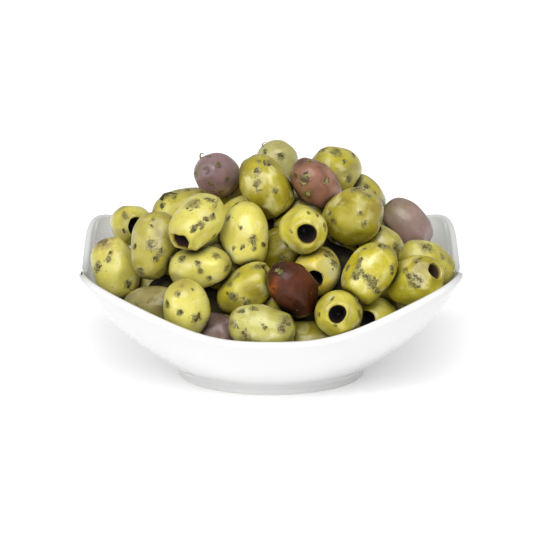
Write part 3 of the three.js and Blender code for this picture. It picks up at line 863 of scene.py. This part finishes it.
def olive_finish(name, looks, kind):
    """Moist olive skin: mottled between three shades, darker at the ends, with painted shade where
    other olives come near, freckled with fine pale pores, coated in places with a thin mash of
    herbs, blushed in patches, and brown cut flesh round the hole with painted shade down in it."""
    shades = KINDS[kind]
    f = Finish(name, Subsurface_Weight=looks.glow * shades["glow"], Subsurface_Scale=0.003,
               Subsurface_Radius=(1.0, 0.75, 0.25), Coat_Weight=looks.oil * shades["oil"],
               Coat_Roughness=0.15, Specular_IOR_Level=shades["gloss"])
    dark, mid, light, blush = shades["skin"]
    thin, thick = shades["mash"]
    spot = f.attribute("spot", "Vector")
    own, along, inside = f.attribute("own"), f.attribute("along"), f.attribute("inside")
    drift = f.noise(spot, 11, 2.0, 0.5, 0.3)
    grit = f.noise(spot, 1.7, 3.0, 0.6)
    pores = f.span(f.cells(spot, 0.8), 0.1, 0.26, 0.3, 0.0)
    specks = f.span(f.cells(spot, 2.1), 0.09, 0.17, 0.75, 0.0)
    mash = f.span(f.maths("ADD", f.attribute("mash"), f.times(grit, 0.9)), 0.78, 1.12, 0.0, 0.75)
    paste = f.mix(f.span(f.noise(spot, 0.7, 3.0), 0.4, 0.62), thin, thick)
    skin = f.layers(
        dark,
        (f.span(drift, 0.3, 0.52), mid),
        (f.span(drift, 0.5, 0.74, 0.0, 0.85), light),
        (f.span(own, 0.5, 1.0, 0.0, 0.75), light),
        (f.span(own, 0.0, 0.5, 0.75, 0.0), dark),
        (f.span(f.noise(spot, 7.5, 2.5, 0.55, 0.4), 0.5, 0.7, 0.0, 0.6), shades["cream"]),
        (f.span(f.maths("ABSOLUTE", along), 0.72, 1.0, 0.0, 0.5), dark),
        (f.times(pores, f.span(f.noise(spot, 5), 0.45, 0.6)), light),
        (f.times(f.attribute("blush"), f.span(f.noise(spot, 3, 3), 0.3, 0.55)), blush),
        (f.times(f.attribute("film"), f.span(f.noise(spot, 6, 3.0), 0.3, 0.65, 0.45, 1)), thin),
        (mash, paste),
        (f.times(specks, f.span(f.noise(spot, 3.4), 0.47, 0.56)), thick),
        (f.times(f.attribute("tip"), f.span(grit, 0.4, 0.6, 0.35, 1.0)), shades["scar"]),
        # painted shade: nearly black where other olives come near
        (f.span(f.attribute("painted_contact_shade"), 0.08, 0.95, 0.0, 0.92), [c * looks.crevice_shade for c in dark]),
        (f.span(inside, 0.02, 0.35), shades["flesh"]),
        # painted shade down in the hole, near black at its end
        (f.span(inside, 0.3, 0.5), HOLE_WALL_SHADE),
        (f.span(inside, 0.5, 0.75), HOLE_END_SHADE))
    rough = f.span(f.noise(spot, 2.6, 3.0), 0.35, 0.7, looks.shine, looks.shine + 0.2)
    rough = f.mix(f.span(inside, 0.1, 0.5), rough, [0.85] * 3)
    grain = f.bump(f.noise(spot, 1.7, 4.0, 0.6), 0.3, 0.12, f.bump(pores, 0.25, 0.05))
    return f.end(skin, rough, f.bump(mash, 0.6, 0.25, grain))


# For each kind: its skin, dark, middle and light and where it blushes; its pale patches; the thin
# and the thick mash of herbs on it; the cut flesh round the hole; the scar at its tip; creases,
# flats and how many, and the dimple at its tip, in mm; gloss, oil and glow
MOIST = {"wrinkle": 0.0, "gloss": 0.42, "oil": 1.0, "glow": 1.0, "dimple": 0.5}
DULL = {"gloss": 0.4, "oil": 0.5, "glow": 0.3}
KINDS = {
    "green": dict(
        MOIST, flat=0.8, planes=10, flesh=(0.42, 0.33, 0.06), scar=(0.22, 0.16, 0.045),
        skin=((0.225, 0.178, 0.004), (0.47, 0.408, 0.013), (0.69, 0.63, 0.14), (0.22, 0.115, 0.07)),
        cream=(0.75, 0.70, 0.34), mash=((0.27, 0.235, 0.07), (0.13, 0.11, 0.030))),
    "pale": dict(
        MOIST, flat=0.7, planes=9, flesh=(0.45, 0.37, 0.12), scar=(0.25, 0.2, 0.07),
        skin=((0.27, 0.25, 0.045), (0.41, 0.385, 0.09), (0.54, 0.51, 0.20), (0.24, 0.17, 0.09)),
        cream=(0.66, 0.63, 0.34), mash=((0.28, 0.25, 0.105), (0.14, 0.12, 0.05))),
    "drab": dict(
        wrinkle=0.05, flat=0.6, planes=8, gloss=0.4, oil=0.6, glow=0.5, dimple=0.5,
        skin=((0.12, 0.10, 0.02), (0.21, 0.175, 0.045), (0.33, 0.29, 0.11), (0.2, 0.12, 0.07)),
        cream=(0.38, 0.34, 0.16), mash=((0.24, 0.2, 0.09), (0.12, 0.1, 0.045)),
        flesh=(0.3, 0.22, 0.07), scar=(0.16, 0.12, 0.05)),
    "yellow": dict(
        MOIST, flat=0.6, planes=8, flesh=(0.4, 0.28, 0.04), scar=(0.26, 0.16, 0.03),
        skin=((0.50, 0.34, 0.008), (0.70, 0.55, 0.015), (0.72, 0.64, 0.14), (0.56, 0.53, 0.24)),
        cream=(0.74, 0.68, 0.28), mash=((0.32, 0.29, 0.11), (0.17, 0.15, 0.055))),
    "purple": dict(
        DULL, wrinkle=0.1, flat=0.5, planes=6, dimple=1.3, flesh=(0.12, 0.05, 0.04),
        skin=((0.075, 0.036, 0.043), (0.185, 0.090, 0.105), (0.34, 0.20, 0.22), (0.22, 0.20, 0.10)),
        cream=(0.27, 0.15, 0.17), mash=((0.10, 0.085, 0.05), (0.035, 0.022, 0.018)),
        scar=(0.05, 0.022, 0.02)),
    "mauve": dict(
        DULL, wrinkle=0.2, flat=0.8, planes=8, dimple=1.1, flesh=(0.14, 0.06, 0.03),
        skin=((0.11, 0.042, 0.028), (0.24, 0.10, 0.064), (0.42, 0.22, 0.16), (0.30, 0.24, 0.07)),
        cream=(0.34, 0.16, 0.12), mash=((0.17, 0.13, 0.035), (0.025, 0.016, 0.01)),
        scar=(0.04, 0.015, 0.01)),
    "plum": dict(
        DULL, wrinkle=0.08, flat=0.5, planes=6, dimple=0.9, flesh=(0.14, 0.07, 0.04),
        skin=((0.080, 0.045, 0.042), (0.175, 0.098, 0.092), (0.36, 0.24, 0.22), (0.25, 0.21, 0.09)),
        cream=(0.40, 0.27, 0.25), mash=((0.10, 0.08, 0.05), (0.05, 0.035, 0.025)),
        scar=(0.05, 0.025, 0.02)),
    "red": dict(
        wrinkle=0.22, flat=1.3, planes=13, gloss=0.22, oil=0.12, glow=0.1, dimple=1.4,
        skin=((0.022, 0.004, 0.001), (0.062, 0.012, 0.004), (0.11, 0.027, 0.010),
              (0.42, 0.105, 0.018)),
        cream=(0.09, 0.02, 0.008), mash=((0.04, 0.02, 0.01), (0.02, 0.01, 0.005)),
        flesh=(0.10, 0.03, 0.012), scar=(0.02, 0.006, 0.003)),
}


# ---- Herbs ----

HERBS_DOWN_TO = GAP_DEPTHS[1]
FLAKE_CORNERS = 9
CRUMB_CORNERS = 5
SHOOT_ROWS = 12
SHOOT_SIDES = 8


def on_skin(o, centres, rng):
    """Two ways along an olive's skin at each point, square to each other, at a random turn."""
    way = outward(o, centres)
    side = unit(np.cross(way, rng.normal(size=centres.shape)))
    return side, np.cross(way, side)


def ragged(sides, sizes, corners, slim, rng):
    """Corners of an uneven polygon round each centre, along the skin's two directions. Slim ones
    bend."""
    corner = np.arange(corners) + rng.uniform(-0.3, 0.3, (len(sizes), corners))
    corner *= 2 * pi / corners
    length = sizes[:, None] * rng.uniform(0.5, 1.15, corner.shape)
    p = length * np.cos(corner)
    bend = rng.uniform(-0.4, 0.4, (len(sizes), 1)) * (slim < 0.3)
    q = length * slim * np.sin(corner) + bend * p * p / sizes[:, None]
    return p[..., None] * sides[0][:, None] + q[..., None] * sides[1][:, None]


def crumb_points(o, seed, centres, sizes, rng):
    """Crumbs of herb on one olive: a low uneven peak each, with a point sunk in the skin."""
    count = len(centres)
    sides = on_skin(o, centres, rng)
    flat = ragged(sides, sizes, CRUMB_CORNERS, rng.uniform(0.5, 1, (count, 1)), rng)
    outer = surface_at(o, seed, centres[:, None] + flat, 0.02)
    below = surface_at(o, seed, centres, -0.3)
    above = surface_at(o, seed, centres, sizes * rng.uniform(0.2, 0.6, count))
    return np.concatenate([below[:, None], outer, above[:, None]], 1)


def flake_points(o, seed, centres, sizes, rng):
    """Flakes of herb on one olive: each is an uneven polygon, longer than wide, that lies on the
    skin, with a raised, crumpled middle and a point sunk in the skin below."""
    count = len(centres)
    sides = on_skin(o, centres, rng)
    slim = np.where(rng.uniform(size=(count, 1)) < 0.25, 0.2, rng.uniform(0.45, 0.95, (count, 1)))
    flat = ragged(sides, sizes * (1 + 0.5 * (slim[:, 0] < 0.3)), FLAKE_CORNERS, slim, rng)
    thick = rng.uniform(0.05, 0.14, (count, 1)) * np.minimum(1, sizes[:, None] * 1.4)
    outer = surface_at(o, seed, centres[:, None] + flat, 0.01)
    inner = surface_at(o, seed, centres[:, None] + flat * 0.6,
                       thick * rng.uniform(0.6, 1.3, (count, FLAKE_CORNERS)))
    below = surface_at(o, seed, centres, -0.35)
    above = surface_at(o, seed, centres, thick[:, 0] * rng.uniform(0.6, 1.3, count))
    return np.concatenate([below[:, None], outer, inner, above[:, None]], 1)


def shoot_points(places, depth, half_width):
    """A thin bent shoot through places of the front view: rings square to its line, which taper
    to the tip."""
    path = np.array([seat(across * STEP, up * STEP, depth) for across, up in places])
    share = np.linspace(0, 1, SHOOT_ROWS)
    line = np.stack([np.interp(share * (len(path) - 1), np.arange(len(path)), values)
                     for values in path.T], -1)
    way = unit(np.gradient(line, axis=0))
    side = unit(np.cross(way, LOOK))
    turn = np.arange(SHOOT_SIDES)[:, None] / SHOOT_SIDES * 2 * pi
    ring = side[:, None] * np.cos(turn) + np.cross(way, side)[:, None] * np.sin(turn)
    rings = line[:, None] + ring * (half_width * (1 - 0.8 * share))[:, None, None]
    return np.concatenate([line[:1], rings.reshape(-1, 3), line[-1:]])


def herb_spots(o, clusters, looks, rng):
    """Where the flakes on one olive lie and how large they are: drawn round the middle of each
    cluster, further along it than across, with crumbs round them, and a few strays."""
    places, sizes = [], []
    for place, reach, flakes in clusters:
        side, other = on_skin(o, place[None], rng)
        count = int(flakes * looks.flakes) + 1
        off = rng.normal(size=(count * 3, 2)) * np.array([0.5, 0.28]) * reach
        places.append(place + off[:, :1] * side + off[:, 1:] * other)
        sizes.append(rng.uniform(0.35, 1.0, count) ** 1.3 * min(looks.flake_size, 0.35 + reach))
        sizes.append(rng.uniform(0.1, 0.24, count * 2) * looks.flake_size)
    places.append(rng.normal(size=(looks.strays, 3)) * o.half())
    sizes.append(rng.uniform(0.1, 0.26, looks.strays) * looks.flake_size)
    places = np.concatenate(places)
    return places / outline_size(o, places)[:, None], np.concatenate(sizes)


def herb_finish(looks):
    """Chopped herbs wet with oil: between dark brown-green and grey-green, flake by flake, with
    fine veins and crumbs, and the light ones straw-coloured."""
    f = Finish("wet_herbs", Specular_IOR_Level=0.3)
    own = f.attribute("own")
    crumb = f.noise(f.place(), 0.7, 3.0, 0.65)
    leaf = f.layers(
        looks.herb_dark,
        (f.span(own, 0.0, 0.8), looks.herb_light),
        (f.span(own, 0.93, 0.97), looks.herb_straw),
        (f.span(crumb, 0.5, 0.64, 0.0, 0.6), [c * 0.6 for c in looks.herb_dark]),
        (f.span(crumb, 0.32, 0.44, 0.4, 0.0), looks.herb_straw))
    return f.end(leaf, f.span(crumb, 0.3, 0.7, 0.4, 0.7), f.bump(crumb, 0.5, 0.1))


# ---- Middle of the heap ----

def core_shade_finish():
    """What shows deep between the olives: brown-black painted shade, oily, with the dull green of
    more skins.
    """
    f = Finish("painted_shade_between_olives", Specular_IOR_Level=0.2)
    place = f.place()
    blot = f.noise(place, 9, 3.0, 0.6)
    # painted shade: near black, blotched with dull dark olive
    colour = f.mix(f.span(blot, 0.45, 0.7), (0.008, 0.006, 0.003), (0.055, 0.045, 0.014))
    return f.end(colour, f.span(blot, 0.3, 0.7, 0.6, 0.9), f.bump(f.noise(place, 3, 4), 0.5, 0.5))


def core_height(x, y):
    """A blanket under the upper olives: the mean of their middles' heights, weighted by how near
    and how low they lie, less a sink, which falls to the lower layer where none lies near."""
    pull, weight, high = 0.0, 1e-6, 0.0
    for o in lay_out():
        if o.deep == 0:
            near = np.exp(-((x - o.c[0]) ** 2 + (y - o.c[1]) ** 2) / (2 * CORE_NEAR ** 2))
            share = near * exp(-o.c[2] / CORE_LOW)
            pull = pull + near
            weight = weight + share
            high = high + share * (o.c[2] - CORE_SINK)
    low = np.vectorize(layer)(x, y, CORE_DEEP)
    near = pull ** 2 / (pull ** 2 + 0.25)
    return low + (high / weight - low) * near


def core_points():
    """Rows round the middle: a flat underside on the floor, up along the wall, and the blanket
    above, lumpy as the olives below it and sunk at its edge."""
    turn = (np.arange(CORE_SIDES) + 0.5) / CORE_SIDES * 2 * pi
    c, s = np.cos(turn), np.sin(turn)
    radius, top = rim(c, s)
    width = radius - LIP - FLOOR_RADIUS
    base = FLOOR_HEIGHT + 0.3
    rows = [(18, base), (FLOOR_RADIUS, base)]
    for v in CORE_WALL:
        rows.append((FLOOR_RADIUS + (width - 1) * v, inner_height(v, top - LIP) + 0.8))
    for share in CORE_BLANKET:
        r = radius * share
        sunk = 7 * clamp((share - 0.52) / 0.2, 0, 1) ** 2
        lump = 1.5 * ripple(np.stack([c * r, s * r, 0 * r], -1), 5, 16)
        least = inner_height(np.clip((r - FLOOR_RADIUS) / width, 0, 1), top - LIP) + 0.9
        rows.append((r, np.maximum(core_height(c * r, s * r) + lump - sunk, least)))
    return turned(c, s, rows, base, rows[-1][1].mean()), len(rows)


# ---- Settings ----

def colour(name, description, default):
    """A setting that is a colour."""
    return FloatVectorProperty(name=name, description=description, subtype="COLOR", size=3,
                               min=0, max=1, default=default)


def number(name, description, default, low=0.0, **limits):
    """A setting that is a number, from the low limit up."""
    return FloatProperty(name=name, description=description, default=default, min=low, **limits)


class OLIVES_PG_bowl(bpy.types.PropertyGroup):
    glaze: colour("Glaze", "Colour of the porcelain", (0.66, 0.665, 0.66))
    bowl_sides: IntProperty(name="Sides", description="Points round the bowl", default=208, min=32)
    wall_rows: IntProperty(name="Wall rows", description="Rows up each wall", default=30, min=6)


class OLIVES_PG_olives(bpy.types.PropertyGroup):
    shine: number("Skin roughness", "Of the glossiest skin", 0.27, max=1)
    oil: number("Oil", "Weight of the clear film of oil", 0.3, max=1)
    glow: number("Glow", "Light that passes through the flesh", 0.22, max=1)
    # how light the painted shade between touching olives is
    crevice_shade: number("Crevices", "How light the skin is where olives touch", 0.04, max=1)


class OLIVES_PG_herbs(bpy.types.PropertyGroup):
    flake_size: number("Flake", "Half length of a large flake, in mm", 1.35, 0.2, max=4)
    flakes: number("Flakes", "How thick the clusters are", 1.5, max=4)
    strays: IntProperty(name="Strays", description="Loose crumbs on each olive", default=20, min=0)
    herb_dark: colour("Dark herb", "Colour of the darkest flakes", (0.052, 0.046, 0.012))
    herb_light: colour("Light herb", "Colour of the lighter flakes", (0.215, 0.19, 0.052))
    herb_straw: colour("Straw", "Colour of the few straw-like flakes", (0.36, 0.30, 0.11))


class OLIVES_PG_stage(bpy.types.PropertyGroup):
    key: number("Key light", "Strength of the broad light from the front", 2.75)
    fill: number("Fill light", "Strength of the light from the left", 0.8)
    room: number("Room", "Strength of the white all round", 0.42)
    floor: colour("Floor", "Colour of the floor", (0.96, 0.96, 0.96))
    floor_glow: number("Floor glow", "Light that the floor gives", 0.2)


# ---- Operators ----

class OLIVES_OT_bowl(bpy.types.Operator):
    """Make the porcelain bowl"""
    bl_idname = "olives.bowl"
    bl_label = "Bowl"

    def execute(self, context):
        settings = context.scene.olives_bowl
        points, rows = bowl_points(settings)
        make_piece("porcelain_bowl", points, rows, settings.bowl_sides, glaze_finish(settings),
                   nodes=("bowl",))
        return {"FINISHED"}


class OLIVES_OT_core(bpy.types.Operator):
    """Make the middle of the heap, dark with painted shade"""
    bl_idname = "olives.core"
    bl_label = "Middle of the heap"

    def execute(self, context):
        points, rows = core_points()
        make_piece("heap_middle", points, rows, CORE_SIDES, core_shade_finish())
        return {"FINISHED"}


def olive_group(context, kind, held=True):
    """Makes the olives of one kind as one piece, the held ones or the others."""
    sets = [olive_points(o, index) for index, o in enumerate(lay_out())
            if o.kind == kind and o.held == held]
    points = np.array([p for p, _ in sets])
    rows = (points.shape[1] - 2) // OLIVE_SIDES
    attributes = {key: np.concatenate([a[key] for _, a in sets]) for key in sets[0][1]}
    name = kind + ("_olives" if held else "_olives_below")
    material = olive_finish(name + "_skin", context.scene.olives_olives, kind)
    make_piece(name, points, rows, OLIVE_SIDES, material, attributes)


class OLIVES_OT_green(bpy.types.Operator):
    """Make the green, pale, drab and yellow olives"""
    bl_idname = "olives.green"
    bl_label = "Green olives"

    def execute(self, context):
        for kind in ("green", "pale", "drab", "yellow"):
            olive_group(context, kind)
        olive_group(context, "green", held=False)
        return {"FINISHED"}


class OLIVES_OT_dark(bpy.types.Operator):
    """Make the purple, mauve, plum and red olives"""
    bl_idname = "olives.dark"
    bl_label = "Dark olives"

    def execute(self, context):
        for kind in ("purple", "mauve", "plum", "red"):
            olive_group(context, kind)
        return {"FINISHED"}


class OLIVES_OT_herbs(bpy.types.Operator):
    """Scatter the flakes of herb over the olives"""
    bl_idname = "olives.herbs"
    bl_label = "Herbs"

    def execute(self, context):
        looks = context.scene.olives_herbs
        rng = np.random.RandomState(HERB_SEED)
        finish = herb_finish(looks)
        flakes, crumbs = ([], []), ([], [])
        for index, (o, clusters) in enumerate(zip(lay_out(), herb_clusters())):
            if o.deep > HERBS_DOWN_TO:
                continue
            centres, sizes = herb_spots(o, clusters, looks, rng)
            tone = rng.uniform(size=len(centres))
            if o.kind == "mauve":
                tone = np.round(tone)
            large = sizes > looks.flake_size * 0.3
            for (bodies, tones), shape, chosen in ((flakes, flake_points, large),
                                                   (crumbs, crumb_points, ~large)):
                bodies.append(shape(o, index + 1, centres[chosen], sizes[chosen], rng))
                tones.append(tone[chosen])
        for name, (bodies, tones), rows, corners in (("herb_flakes", flakes, 2, FLAKE_CORNERS),
                                                     ("herb_crumbs", crumbs, 1, CRUMB_CORNERS)):
            points = np.concatenate(bodies)
            own = np.repeat(np.concatenate(tones), points.shape[1])
            own = np.clip(own + rng.uniform(-0.25, 0.25, len(own)), 0, 1)
            make_piece(name, points, rows, corners, finish, {"own": own}, smooth=False)
        points = np.array([shoot_points(*shoot[:3]) for shoot in SHOOTS])
        own = np.repeat([shoot[3] for shoot in SHOOTS], points.shape[1])
        make_piece("herb_shoots", points, SHOOT_ROWS, SHOOT_SIDES, finish, {"own": own})
        return {"FINISHED"}


def aimed(name, data, place, aim):
    """A new object at a place, in metres, that looks at the aim."""
    thing = add_object(name, data)
    thing.location = place
    thing.rotation_euler = (Vector(aim) - thing.location).to_track_quat("-Z", "Y").to_euler()
    return thing


def sun(name, place, power, angle):
    """A broad light from one side, as wide as the angle, in degrees."""
    lamp = bpy.data.lights.new(name, "SUN")
    lamp.energy = power
    lamp.angle = radians(angle)
    aimed(name, lamp, place, LIGHT_AIM)


class OLIVES_OT_stage(bpy.types.Operator):
    """Make the floor, the lights and the camera"""
    bl_idname = "olives.stage"
    bl_label = "Stage"

    def execute(self, context):
        settings = context.scene.olives_stage
        scene = context.scene
        scene.view_settings.view_transform = "Standard"
        h = FLOOR_HALF
        mesh = bpy.data.meshes.new("floor")
        mesh.from_pydata([(-h, -h, 0), (h, -h, 0), (h, h, 0), (-h, h, 0)], [], [(0, 1, 2, 3)])
        f = Finish("pale_floor", Roughness=0.7, Specular_IOR_Level=0.2,
                   Emission_Color=(1, 1, 1, 1), Emission_Strength=settings.floor_glow)
        soft = f.span(f.noise(f.place(), 260, 3.0), 0.3, 0.7)
        mesh.materials.append(f.end(f.mix(soft, settings.floor,
                                          [c * 0.985 for c in settings.floor])))
        floor = add_object("floor", mesh)
        sun("key", (0.05, -1.7, 1.5), settings.key, 50)
        sun("fill", (-1.3, -1.4, 0.9), settings.fill, 40)
        scene.world = bpy.data.worlds.new("white_room")
        scene.world.use_nodes = True
        white = scene.world.node_tree.nodes["Background"].inputs
        white["Color"].default_value = (1, 1, 1, 1)
        white["Strength"].default_value = settings.room
        camera = bpy.data.cameras.new("camera")
        camera.lens, camera.sensor_width, camera.clip_end = 261.8, 36, 20
        scene.camera = aimed("camera", camera, Vector(EYE * MM), CAMERA_AIM)
        return {"FINISHED"}


class OLIVES_PT_panel(bpy.types.Panel):
    bl_label = "Bowl of olives"
    bl_idname = "OLIVES_PT_panel"
    bl_space_type = "VIEW_3D"
    bl_region_type = "UI"
    bl_category = "Olives"

    def draw(self, context):
        for group in (getattr(context.scene, name) for name in GROUPS):
            box = self.layout.box()
            for key in group.bl_rna.properties.keys():
                if key not in ("rna_type", "name"):
                    box.prop(group, key)
        for name in STEPS:
            self.layout.operator("olives." + name)


STEPS = ("stage", "bowl", "core", "green", "dark", "herbs")
GROUPS = {"olives_bowl": OLIVES_PG_bowl, "olives_olives": OLIVES_PG_olives,
          "olives_herbs": OLIVES_PG_herbs, "olives_stage": OLIVES_PG_stage}
CLASSES = (*GROUPS.values(), OLIVES_OT_bowl, OLIVES_OT_core, OLIVES_OT_green, OLIVES_OT_dark,
           OLIVES_OT_herbs, OLIVES_OT_stage, OLIVES_PT_panel)


def register():
    """Registers the classes and gives the scene its settings."""
    for cls in CLASSES:
        bpy.utils.register_class(cls)
    for name, group in GROUPS.items():
        setattr(bpy.types.Scene, name, PointerProperty(type=group))


def unregister():
    """Takes the settings and the classes out again."""
    for name in GROUPS:
        delattr(bpy.types.Scene, name)
    for cls in reversed(CLASSES):
        bpy.utils.unregister_class(cls)


def main():
    """Makes every piece and the stage."""
    register()
    for name in STEPS:
        getattr(bpy.ops.olives, name)()


if __name__ == "__main__":
    main()
